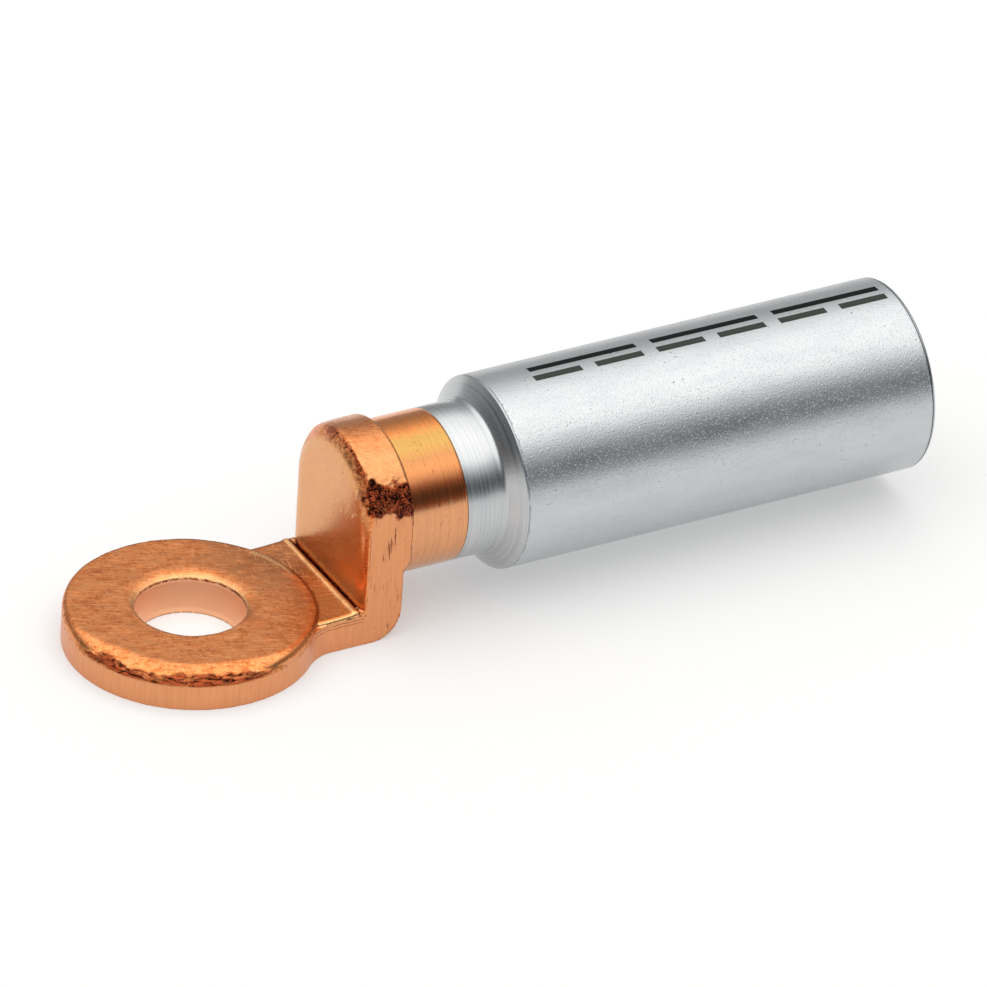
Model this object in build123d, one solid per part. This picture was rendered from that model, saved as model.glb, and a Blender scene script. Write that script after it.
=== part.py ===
from build123d import *
import math
import os

# Bimetal compression lug: a forged copper palm, friction welded to an aluminium barrel.
# The origin is the centre of the bolt hole, on the underside of the palm. X runs along
# the barrel towards its mouth, and Z points up, away from the face that bolts down.

# Palm ring
hole_diameter = 13.0
hole_roll = 0.7
ring_diameter = 32.0
ring_thickness = 5.0
ring_edge_round = 1.0

# Trimmed edge, where the forging's flash was sheared off all round the palm and up the web
trim_height = 3.4
trim_step = 0.12

# Neck between the ring and the web
neck_width = 19.6
neck_thickness = 4.6
neck_corner_radius = 4.4
neck_edge_round = 0.3

# Web that rises from the neck, with the heel below it and the throat behind it
web_front = 19.0
web_thickness = 5.75
heel_radius = 4.0
throat_height = 10.2
throat_radius = 0.8

# Crease at the foot of the web, and the low bead that was squeezed up in front of it
bead_radius = 0.5
bead_height = 0.35
crease_width = 0.35
crease_depth = 0.25

# Forged head behind the web's front face
axis_height = 14.5
head_diameter = 21.6
head_overhang = 1.0
head_rim_chamfer = 0.25

# Rounding of the head's front edge, which is full on the far side and almost gone on
# the near side, because the die that made it sat off centre
nose_round = 3.5
nose_offset = 0.7
nose_lift = 0.5

# Turned shank
shank_diameter = 19.7
weld_position = 33.7

# Aluminium barrel
collar_length = 5.3
shoulder_length = 1.8
barrel_diameter = 25.0
barrel_length = 59.1
end_chamfer = 0.35

# Bore for the stripped conductor, with solid metal left between its floor and the shoulder
bore_diameter = 16.3
bore_floor = 3.1
mouth_chamfer = 0.8
drill_point_angle = 118.0

# Sizes that follow from those above
ring_radius = ring_diameter / 2
hole_radius = hole_diameter / 2
web_back = web_front + web_thickness
web_trim = web_front + neck_thickness - trim_height
head_radius = head_diameter / 2
head_end = web_back + head_overhang
head_top = axis_height + head_radius
shank_radius = shank_diameter / 2
collar_end = weld_position + collar_length
shoulder_end = collar_end + shoulder_length
barrel_radius = barrel_diameter / 2
barrel_end = shoulder_end + barrel_length
bore_radius = bore_diameter / 2
bore_bottom = shoulder_end + bore_floor
drill_point = bore_bottom - bore_radius / math.tan(math.radians(drill_point_angle / 2))

# Tools that cut right through, and blanks that are cut back, reach this far past the wall
clear = 5.0

# Where one form runs on inside another, so that the two become one piece
overlap = 1.0


def plan_outline():
    """Ring and neck from above, as the shear left them, with rounded inner corners."""
    neck = Pos(web_trim / 2, 0) * Rectangle(web_trim, neck_width)
    outline = Circle(ring_radius) + neck
    corners = outline.vertices().filter_by(lambda v: 0 < v.X < ring_radius)
    return fillet(corners, neck_corner_radius)


def neck_plate():
    """Flat plate under ring and neck: sheared below the trim line, as forged above it."""
    sheared = extrude(plan_outline(), trim_height)
    neck_end = web_front + overlap
    forged = Pos(neck_end / 2, 0) * Rectangle(neck_end, neck_width - 2 * trim_step)
    forged = extrude(forged, neck_thickness)
    upper_edges = forged.faces().sort_by(Axis.Z)[-1].edges().filter_by(Axis.X)
    return sheared + fillet(upper_edges, neck_edge_round)


def ring_disc():
    """The ring, with a rounded upper edge, standing a little above the neck."""
    disc = extrude(Circle(ring_radius - trim_step), ring_thickness)
    rim = disc.edges().filter_by(GeomType.CIRCLE).sort_by(Axis.Z)[-1]
    return fillet(rim, ring_edge_round)


def web_side():
    """The web and head seen from the side, as wide as the blank they are cut from."""
    blank_top = head_top + clear
    corners = [
        (web_front, 0),
        (web_back, 0),
        (web_back, throat_height),
        (head_end, throat_height),
        (head_end, blank_top),
        (web_front, blank_top),
    ]
    side = make_face(Plane.XZ * Polyline(*corners, close=True))
    heel = side.vertices().sort_by_distance((web_back, 0, 0))[0]
    side = fillet(heel, heel_radius)
    throat = side.vertices().sort_by_distance((web_back, 0, throat_height))[0]
    side = fillet(throat, throat_radius)
    return extrude(side, head_radius, both=True)


def head_end_view(inset):
    """The head seen from the ring: a round top, and flat flanks drawn in by the inset."""
    flanks = Pos(0, axis_height / 2) * Rectangle(2 * head_radius, axis_height)
    arch = Pos(0, axis_height) * Circle(head_radius) + flanks
    width = Pos(0, head_top / 2) * Rectangle(neck_width - 2 * inset, head_top)
    return arch & width


def nose_form():
    """Arched form with rounded edges that the head's front was pressed into."""
    rim = head_radius + nose_offset
    length = head_end + clear - web_front
    half = Pos(web_front + length / 2, rim / 2) * Rectangle(length, rim)
    front_corner = half.vertices().sort_by(Axis.X)[:2].sort_by(Axis.Y)[-1]
    half = fillet(front_corner, nose_round)
    round_top = Pos(0, 0, axis_height) * revolve(half, Axis.X)
    legs = extrude(half + mirror(half, Plane.XZ), axis_height + nose_lift)
    legs = Pos(0, 0, -nose_lift) * legs
    return Pos(0, -nose_offset, nose_lift) * (round_top + legs)


def web_and_head():
    """The upright web with the arched head at its top."""
    forged = extrude(Plane.YZ.offset(web_front) * head_end_view(trim_step), web_thickness)
    sheared = extrude(Plane.YZ.offset(web_trim) * head_end_view(0), head_end - web_trim)
    head = (forged + sheared) & web_side() & nose_form()
    back = head.faces().filter_by(Axis.X).sort_by(Axis.X)[-1]
    rim = back.edges().filter_by(GeomType.CIRCLE)
    return chamfer(rim, head_rim_chamfer)


def along_barrel(radius, start, end):
    """A round bar on the barrel's axis, between two places along it."""
    bar = Cylinder(radius, end - start, align=(Align.CENTER, Align.CENTER, Align.MIN))
    return Pos(start, 0, axis_height) * Rot(0, 90, 0) * bar


def bead():
    """Low round ridge across the neck, at the foot of the web."""
    length = neck_width - 2 * trim_step
    x = web_front - crease_width - bead_radius / 2
    z = neck_thickness + bead_height - bead_radius
    return Pos(x, 0, z) * Rot(90, 0, 0) * Cylinder(bead_radius, length)


def crease():
    """Sharp groove between the bead and the web, as deep as it is cut across the neck."""
    top = neck_thickness + bead_height
    corners = [
        (web_front - crease_width, top),
        (web_front, top),
        (web_front, neck_thickness - crease_depth),
    ]
    groove = make_face(Plane.XZ * Polyline(*corners, close=True))
    return extrude(groove, neck_width / 2, both=True)


def bolt_hole():
    """The punch's way through the ring, which drew its upper edge down into a round."""
    roll_start = ring_thickness - hole_roll
    roll_end = hole_radius + hole_roll
    with BuildSketch(Plane.XZ) as section:
        with BuildLine():
            Line((0, -clear), (hole_radius, -clear))
            Line((hole_radius, -clear), (hole_radius, roll_start))
            RadiusArc((hole_radius, roll_start), (roll_end, ring_thickness), hole_roll)
            Line((roll_end, ring_thickness), (roll_end, ring_thickness + clear))
            Line((roll_end, ring_thickness + clear), (0, ring_thickness + clear))
            Line((0, ring_thickness + clear), (0, -clear))
        make_face()
    return revolve(section.sketch, Axis.Z)


def copper_palm():
    """The whole forging, from the ring to the welded end of the shank."""
    shank = along_barrel(shank_radius, web_front + overlap, weld_position)
    return neck_plate() + ring_disc() + web_and_head() + shank + bead() - crease() - bolt_hole()


def aluminium_barrel():
    """Collar, shoulder and barrel turned as one round, with a blind bore for the wires."""
    section = [
        (weld_position, 0),
        (weld_position, shank_radius),
        (collar_end, shank_radius),
        (shoulder_end, barrel_radius),
        (barrel_end, barrel_radius),
        (barrel_end, bore_radius),
        (bore_bottom, bore_radius),
        (drill_point, 0),
    ]
    half = make_face(Plane.XZ * Polyline(*section, close=True))
    outer_end = half.vertices().sort_by_distance((barrel_end, 0, barrel_radius))[0]
    half = chamfer(outer_end, end_chamfer)
    mouth = half.vertices().sort_by_distance((barrel_end, 0, bore_radius))[0]
    half = chamfer(mouth, mouth_chamfer)
    return Pos(0, 0, axis_height) * revolve(half, Axis.X)


if __name__ == "__main__":
    os.makedirs("parts", exist_ok=True)
    export_step(copper_palm(), "parts/copper_palm.step")
    export_step(aluminium_barrel(), "parts/aluminium_barrel.step")
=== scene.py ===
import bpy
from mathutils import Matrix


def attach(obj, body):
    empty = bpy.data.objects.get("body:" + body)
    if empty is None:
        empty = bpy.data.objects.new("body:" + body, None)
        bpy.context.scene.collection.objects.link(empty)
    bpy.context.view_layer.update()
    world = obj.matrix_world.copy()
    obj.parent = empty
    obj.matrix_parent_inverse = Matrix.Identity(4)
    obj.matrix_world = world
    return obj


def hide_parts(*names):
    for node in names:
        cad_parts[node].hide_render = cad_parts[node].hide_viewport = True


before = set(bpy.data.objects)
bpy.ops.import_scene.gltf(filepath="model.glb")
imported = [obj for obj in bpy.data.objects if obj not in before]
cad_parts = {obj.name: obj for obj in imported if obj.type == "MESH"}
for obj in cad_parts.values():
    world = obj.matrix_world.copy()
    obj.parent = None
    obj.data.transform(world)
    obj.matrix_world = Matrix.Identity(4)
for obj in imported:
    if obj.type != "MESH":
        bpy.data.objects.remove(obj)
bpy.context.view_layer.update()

import logging
import math
from collections.abc import Callable
from dataclasses import dataclass
from enum import Enum

import bpy
import numpy as np
from mathutils import Matrix, Vector

# A bimetal compression lug: a forged copper palm, friction welded to an aluminium barrel.
# Sizes in the classes are millimetres, and meshes are metres in the model's own frame.

MM = 0.001

# Sizes that several pieces share
AXIS_HEIGHT = 14.5
WELD = 33.7
SHANK_RADIUS = 9.85
BARREL_RADIUS = 12.5

Array = np.ndarray
Span = tuple[float, float]
Triple = tuple[float, float, float]
Colour = tuple[float, float, float, float]
Field = Callable[[Array, Array, Array], Array]
Socket = bpy.types.NodeSocket
Tree = bpy.types.NodeTree
Paint = Socket | Colour
Look = tuple[Socket, Socket, Socket]


def linear(colour: str) -> Colour:
    """Turns an sRGB colour into the linear values that the shaders take.

    Args:
        colour: Six hex digits.

    Returns:
        Linear red, green and blue, and an alpha of 1.
    """
    parts = [int(colour[i:i + 2], 16) / 255 for i in (0, 2, 4)]
    steps = [c / 12.92 if c <= 0.04045 else ((c + 0.055) / 1.055) ** 2.4 for c in parts]
    return (steps[0], steps[1], steps[2], 1.0)


def add_node(tree: Tree, kind: str, inputs: dict | list | None = None, out: int | str = 0,
             **settings: object) -> Socket | None:
    """Adds a node with its settings, values and links.

    Args:
        tree: The tree that the node goes into.
        kind: The node's type name.
        inputs: A value or a socket for each input, in order or by its name or number.
        out: The output that is wanted, by its name or number.
        settings: Properties of the node.

    Returns:
        The output, or nothing where the node has none.
    """
    node = tree.nodes.new(kind)
    for name, value in settings.items():
        setattr(node, name, value)
    given = dict(enumerate(inputs)) if isinstance(inputs, list) else inputs or {}
    for key, value in given.items():
        if isinstance(value, Socket):
            tree.links.new(value, node.inputs[key])
        else:
            node.inputs[key].default_value = value
    return node.outputs[out] if node.outputs else None


def set_ramp(output: Socket, stops: list[tuple[float, Colour]]) -> Socket:
    """Gives a colour ramp its stops.

    Args:
        output: The colour that comes out of the ramp.
        stops: Position and colour of each stop, in rising order.

    Returns:
        The same output.
    """
    elements = output.node.color_ramp.elements
    while len(elements) < len(stops):
        elements.new(0.5)
    for element, (position, colour) in zip(elements, stops):
        element.position = position
        element.color = colour
    return output


def lay_colours(tree: Tree, colour: Paint, layers: list[tuple[Socket, Paint]]) -> Socket:
    """Lays colours one over another.

    Args:
        tree: The material's tree.
        colour: The colour below them all.
        layers: The share and the colour of each layer, from the lowest up.

    Returns:
        The colour that results.
    """
    for share, over in layers:
        colour = add_node(tree, "ShaderNodeMix", {0: share, 6: colour, 7: over}, 2,
                          data_type="RGBA")
    return colour


def lay_relief(tree: Tree, layers: list[tuple[Socket, float]]) -> Socket:
    """Lays reliefs one over another.

    Args:
        tree: The material's tree.
        layers: The height and the depth of each, in millimetres, below 0 where it is cut in.

    Returns:
        The surface's normal.
    """
    normal = {}
    for height, depth in layers:
        given = {"Distance": abs(depth) * MM, "Height": height} | normal
        normal = {"Normal": add_node(tree, "ShaderNodeBump", given, invert=depth < 0)}
    return normal["Normal"]


def new_object(name: str, mesh: bpy.types.Mesh) -> bpy.types.Object:
    """Puts a mesh into the scene, at the origin.

    Args:
        name: The object's name.
        mesh: Its mesh.

    Returns:
        The new object.
    """
    piece = bpy.data.objects.new(name, mesh)
    bpy.context.scene.collection.objects.link(piece)
    return piece


def round_cut(a: Array, b: Array, radius: float | Array) -> Array:
    """Intersects two distance fields, with a radius on the edge between them."""
    reach = np.hypot(np.maximum(radius + a, 0), np.maximum(radius + b, 0))
    return np.minimum(-radius, np.maximum(a, b)) + reach


def round_join(a: Array, b: Array, radius: float | Array) -> Array:
    """Unites two distance fields, with a fillet of this radius in the corner between them."""
    return -round_cut(-a, -b, radius)


def ramp_up(value: Array, start: float | Array, end: float | Array) -> Array:
    """Goes evenly from 0 at the start to 1 at the end, of which either may be the larger."""
    return np.clip((value - start) / (end - start), 0, 1)


def band(value: Array, start: float, end: float | Array, soft: float) -> Array:
    """Is 1 from start to end, and falls evenly to 0 over a soft stretch on either side."""
    return ramp_up(np.maximum(start - value, value - end), soft, 0)


def within(value: Array, low: float, high: float) -> Array:
    """Says which values lie between two others."""
    return (value > low) & (value < high)


def value_noise(points: Array, wavelength: float, seed: int) -> Array:
    """Smooth random values in space.

    Args:
        points: Rows of x, y and z.
        wavelength: Distance between the lattice's points.
        seed: Seed of the random values.

    Returns:
        A value from -1 to 1 for each point.
    """
    lattice = np.random.default_rng(seed).uniform(-1, 1, (32, 32, 32))
    place = points / wavelength + 100.0
    cell = np.floor(place).astype(int)
    part = place - cell
    part = part * part * part * (part * (part * 6 - 15) + 10)
    total = np.zeros(len(points))
    for corner in np.ndindex(2, 2, 2):
        weight = np.prod(np.where(np.array(corner) == 1, part, 1 - part), axis=1)
        i, j, k = ((cell + corner) % 32).T
        total += weight * lattice[i, j, k]
    return total


def slope_of(height: Callable[[Array], Array], points: Array, reach: float) -> Array:
    """How fast a value rises along x, y and z, measured over a reach to either side."""
    sides = [(height(points + step) - height(points - step)) / (2 * reach)
             for step in reach * np.eye(3)]
    return np.stack(sides, axis=1)


class Region(Enum):
    """How each part of the copper's surface was made."""

    FORGED = 0
    SHEARED = 1
    TURNED = 2


@dataclass
class SurfaceNet:
    """Turns a distance field into a mesh that keeps the field's edges."""

    step: float
    lower: Triple
    upper: Triple
    searches: int = 5
    pull: float = 0.02
    normal_reach: float = 0.04

    def normals(self, form: Field, points: Array) -> Array:
        """Unit vectors along which the field rises, one for each row of x, y and z."""
        rise = slope_of(lambda place: form(*place.T), points, self.normal_reach)
        return rise / np.maximum(np.linalg.norm(rise, axis=1, keepdims=True), 1e-9)

    def crossings(self, form: Field, spot: Array, axis: int, start: Array, end: Array) -> Array:
        """Finds where the grid's edges along one axis cross the surface.

        Args:
            form: The distance field.
            spot: The lower end of each edge.
            axis: Number of the axis.
            start: The field there.
            end: The field at the upper end.

        Returns:
            The crossing's place on each edge.
        """
        share = start / (start - end)
        low, high = np.zeros(len(spot)), np.ones(len(spot))
        way = np.eye(3)[axis] * self.step
        for _ in range(self.searches):
            value = form(*(spot + share[:, None] * way).T)
            same = (value < 0) == (start < 0)
            low, high = np.where(same, share, low), np.where(same, high, share)
            start, end = np.where(same, value, start), np.where(same, end, value)
            share = low + (high - low) * np.clip(start / (start - end + 1e-12), 0.1, 0.9)
        return spot + share[:, None] * way

    def settle(self, spot: Array, way: Array, slot: Array) -> Array:
        """Puts one point in each cell, near the planes through the crossings round it.

        Args:
            spot: The crossings.
            way: The surface's normal at each.
            slot: Number of the cell that each belongs to.

        Returns:
            A point for each cell.
        """
        total = slot.max() + 1
        count = np.bincount(slot, minlength=total)
        middle = np.stack([np.bincount(slot, spot[:, n], total) for n in range(3)], 1)
        middle /= count[:, None]
        offset = np.einsum("ij,ij->i", way, spot - middle[slot])
        matrix, target = np.empty((total, 3, 3)), np.empty((total, 3))
        for n in range(3):
            target[:, n] = np.bincount(slot, way[:, n] * offset, total)
            for m in range(3):
                matrix[:, n, m] = np.bincount(slot, way[:, n] * way[:, m], total)
        matrix += self.pull * np.eye(3)
        move = np.linalg.solve(matrix, target[:, :, None])[:, :, 0]
        return middle + np.clip(move, -self.step, self.step)

    def extract(self, form: Field) -> tuple[Array, Array, Array]:
        """Meshes the surface where the field is zero.

        Args:
            form: Function of x, y and z that gives the distance from the surface.

        Returns:
            The vertices, their normals and the four-sided faces.
        """
        # The grid's edges that cross the surface, and the four cells round each of them
        axes = [np.arange(a, b + self.step, self.step) for a, b in zip(self.lower, self.upper)]
        grid = form(*np.meshgrid(*axes, indexing="ij", sparse=True))
        strides = np.array([grid.shape[1] * grid.shape[2], grid.shape[2], 1])
        spots, quads = [], []
        for axis in range(3):
            last = grid.shape[axis] - 1
            a, b = np.take(grid, range(last), axis), np.take(grid, range(1, last + 1), axis)
            index = np.argwhere((a < 0) != (b < 0))
            start, end = a[tuple(index.T)], b[tuple(index.T)]
            spot = np.stack([axes[n][index[:, n]] for n in range(3)], axis=1)
            spots.append(self.crossings(form, spot, axis, start, end))
            u, v = strides[(axis + 1) % 3], strides[(axis + 2) % 3]
            base = index @ strides
            around = np.stack([base - u - v, base - v, base, base - u], axis=1)
            around[end < 0] = around[end < 0][:, ::-1]
            quads.append(around)

        # One point for each cell that the surface runs through, kept inside its cell
        spot, quads = np.concatenate(spots), np.concatenate(quads)
        used, slot = np.unique(quads.ravel(), return_inverse=True)
        way = np.repeat(self.normals(form, spot), 4, axis=0)
        points = self.settle(np.repeat(spot, 4, axis=0), way, slot)
        corner = np.stack(np.unravel_index(used, grid.shape), axis=1)
        floor = np.array(self.lower) + corner * self.step
        points = np.clip(points, floor, floor + self.step)
        return points, self.normals(form, points), slot.reshape(-1, 4)


@dataclass
class CopperPalm:
    """The forging: ring, neck, web with its arched head, and the turned shank."""

    hole_radius: float = 6.5
    hole_roll: float = 0.45
    hole_flare: float = 0.6
    flare_lean: float = 0.55
    flare_start: float = 0.8
    lip_near: float = 0.2
    lip_far: float = 2.0
    lip_foot: float = 0.1
    lip_start: Span = (1.5, 3.5)
    ring_radius: float = 16.0
    ring_thickness: float = 5.0
    ring_round: float = 1.2
    rim_sharp: float = 0.15
    rim_slope: float = 42.0
    rim_inset: float = 0.05
    rim_way: float = -126.0
    rim_spread: Span = (0.45, 0.9)
    trim_height: float = 3.4
    trim_step: float = 0.12
    neck_trim: float = 4.2
    neck_half: float = 9.8
    neck_thickness: float = 4.6
    neck_round: float = 0.5
    neck_rise: float = 0.27
    neck_rise_reach: Span = (13.0, 18.6)
    corner_fill: float = 1.7
    ring_fill: float = 0.18
    soft_turn: float = 0.6
    soft_share: float = 0.35
    forged_start: float = 1.0
    web_front: float = 19.0
    web_back: float = 24.75
    heel_radius: float = 4.0
    throat_height: float = 10.2
    throat_radius: float = 1.2
    axis_height: float = AXIS_HEIGHT
    head_radius: float = 10.8
    head_end: float = 25.75
    head_edge: float = 0.7
    rim_chamfer: float = 0.25
    brow_round: float = 1.45
    flank_round: float = 0.12
    arch_round: float = 0.3
    nose_round: float = 3.9
    nose_offset: float = 0.35
    nose_lift: float = 0.5
    bead_radius: float = 0.5
    bead_height: float = 0.1
    bead_round: float = 0.4
    bead_fill: float = 0.2
    crease_width: float = 0.27
    crease_depth: float = 0.25
    shank_radius: float = SHANK_RADIUS
    shank_start: float = 21.0
    weld: float = WELD
    overlap: float = 2.0
    mesh_step: float = 0.24
    mesh_lower: Triple = (-16.61, -16.61, -0.61)
    mesh_upper: Triple = (34.3, 16.7, 26.0)

    def facing(self, x: Array, y: Array) -> Array:
        """Cosine of the angle from the side that the die rounded most, seen from above."""
        way = math.radians(self.rim_way)
        return (x * math.cos(way) + y * math.sin(way)) / np.maximum(np.hypot(x, y), 1e-6)

    def front_share(self, x: Array, y: Array, start: float = -0.45, end: float = 0.45) -> Array:
        """Nearness to that side: 0 and 1 at two cosines of the angle, and smooth between."""
        share = ramp_up(self.facing(x, y), start, end)
        return share * share * (3 - 2 * share)

    def hole_wall(self, x: Array, y: Array, z: Array) -> Array:
        """Radius of the punched hole, which opens upwards, and most on the far side."""
        rise = ramp_up(z, self.flare_start, self.ring_thickness)
        return self.hole_radius + rise * (self.hole_flare - self.flare_lean * self.facing(x, y))

    def neck_top(self, x: Array) -> Array:
        """Height of the neck, which rises a little towards the web."""
        share = ramp_up(x, *self.neck_rise_reach)
        return self.neck_thickness + self.neck_rise * share * share

    def plate(self, x: Array, y: Array, z: Array) -> Array:
        """Ring and neck: sheared below the trim line, as forged above it.

        Args:
            x: Distance along the lug.
            y: Distance across it.
            z: Height.

        Returns:
            The distance field.
        """
        reach, end = np.hypot(x, y), x - self.web_front - self.overlap
        neck_side = np.maximum(np.abs(y) - self.neck_half, -x)
        outline = round_join(reach - self.ring_radius, neck_side, self.corner_fill)
        rise = ramp_up(x, self.ring_radius / 2, self.ring_radius * 0.75)
        top = self.trim_height + (self.neck_trim - self.trim_height) * rise
        sheared = round_cut(np.maximum(outline, end), -z, self.rim_sharp)
        front = self.front_share(x, y)
        toward_neck = np.exp(-(np.arctan2(y, x) / self.soft_turn) ** 2)
        slope = np.radians(self.rim_slope) * self.front_share(x, y, *self.rim_spread)
        wall = reach - self.ring_radius + self.rim_inset * front
        above = np.maximum(z - self.trim_height, 0)
        wall = (wall + above * np.tan(slope)) * np.cos(slope)
        rounded = np.maximum(front, self.soft_share * toward_neck)
        rim = self.rim_sharp + (self.ring_round - self.rim_sharp) * rounded
        disc = round_cut(wall, z - self.ring_thickness, rim)
        strip = np.maximum(np.abs(y) - self.neck_half + self.trim_step, end)
        strip = round_cut(np.maximum(strip, -x), z - self.neck_top(x), self.neck_round)
        forged = np.maximum(round_join(disc, strip, self.ring_fill), self.forged_start - z)
        return np.minimum(np.maximum(sheared, z - top), forged)

    def web(self, x: Array, y: Array, z: Array) -> Array:
        """The upright web with the arched head, its off-centre nose, heel and throat.

        Args:
            x: Distance along the lug.
            y: Distance across it.
            z: Height.

        Returns:
            The distance field.
        """
        post = round_cut(x - self.web_back, -z, self.heel_radius)
        brow = round_cut(x - self.head_end, self.throat_height - z, self.head_edge)
        side = round_join(post, brow, self.throat_radius)
        front, up = self.web_front - x, z - self.axis_height
        arch = np.hypot(y, np.maximum(up, 0)) - self.head_radius
        arch = round_cut(arch, front, self.brow_round)
        nose = np.hypot(y + self.nose_offset, np.maximum(up - self.nose_lift, 0))
        nose = round_cut(nose - self.head_radius - self.nose_offset, front, self.nose_round)
        rim = np.hypot(y, up) - self.head_radius + x - self.head_end
        rim = np.where(up > 0, rim + self.rim_chamfer, -9) / math.sqrt(2)
        flanks = np.abs(y) - self.neck_half
        flanks = round_cut(flanks, np.maximum(side, nose), self.flank_round)
        return np.maximum(round_cut(flanks, arch, self.arch_round), rim)

    def form(self, x: Array, y: Array, z: Array) -> Array:
        """The whole forging.

        Args:
            x: Distance along the lug.
            y: Distance across it.
            z: Height.

        Returns:
            The distance field.
        """
        axis = np.hypot(y, z - self.axis_height)
        shank = np.maximum(self.shank_start - x, x - self.weld)
        shank = np.maximum(axis - self.shank_radius, shank)
        body = np.minimum(np.minimum(self.plate(x, y, z), self.web(x, y, z)), shank)
        bead_x = self.web_front - self.crease_width - self.bead_radius / 2
        bead_z = self.neck_thickness + self.neck_rise + self.bead_height - self.bead_radius
        bead = np.hypot(x - bead_x, z - bead_z) - self.bead_radius
        side = np.abs(y) - self.neck_half + self.trim_step
        body = round_join(body, round_cut(bead, side, self.bead_round), self.bead_fill)
        rise = (self.crease_depth + self.neck_rise + self.bead_height) / self.crease_width
        floor = self.neck_thickness - self.crease_depth + (self.web_front - x) * rise - z
        crease = np.maximum(x - self.web_front, floor / math.hypot(1, rise))
        body = np.maximum(body, -crease)
        hole = self.hole_wall(x, y, z) - np.hypot(x, y)
        top = self.lip_near + self.lip_far * (1 - self.front_share(x, y))
        lip = self.lip_foot + ramp_up(z, *self.lip_start) * (top - self.lip_foot)
        drop = np.minimum(lip, self.hole_roll)
        return round_cut(body / drop, hole / lip, 1.0) * drop

    def build(self) -> bpy.types.Object:
        """Meshes the forging.

        Returns:
            The finished piece, with a material slot for each region.
        """
        net = SurfaceNet(self.mesh_step, self.mesh_lower, self.mesh_upper)
        points, normals, faces = net.extract(self.form)
        skin = CopperSkin(self, points, normals)
        region, layers, flow = skin.regions(), skin.layers(), skin.flow()
        points, normals = skin.weather(region)
        mesh = bpy.data.meshes.new("copper_palm_forged")
        mesh.from_pydata((points * MM).tolist(), [], faces.tolist())
        for finish in (ForgedCopper(), ShearedCopper(), TurnedCopper()):
            mesh.materials.append(finish.build())
        middle = np.median(region[faces], axis=1).astype(int)
        mesh.polygons.foreach_set("material_index", middle)
        mesh.polygons.foreach_set("use_smooth", np.ones(len(faces), bool))
        for name, values in layers.items():
            layer = mesh.attributes.new(name, "FLOAT", "POINT")
            layer.data.foreach_set("value", values.astype(np.float32))
        layer = mesh.attributes.new("flow", "FLOAT_VECTOR", "POINT")
        layer.data.foreach_set("vector", flow.astype(np.float32).ravel())
        mesh.normals_split_custom_set_from_vertices(normals.tolist())
        mesh.update()
        piece = new_object("palm_forging", mesh)
        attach(piece, "root")
        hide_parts("copper_palm")
        return piece


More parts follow.
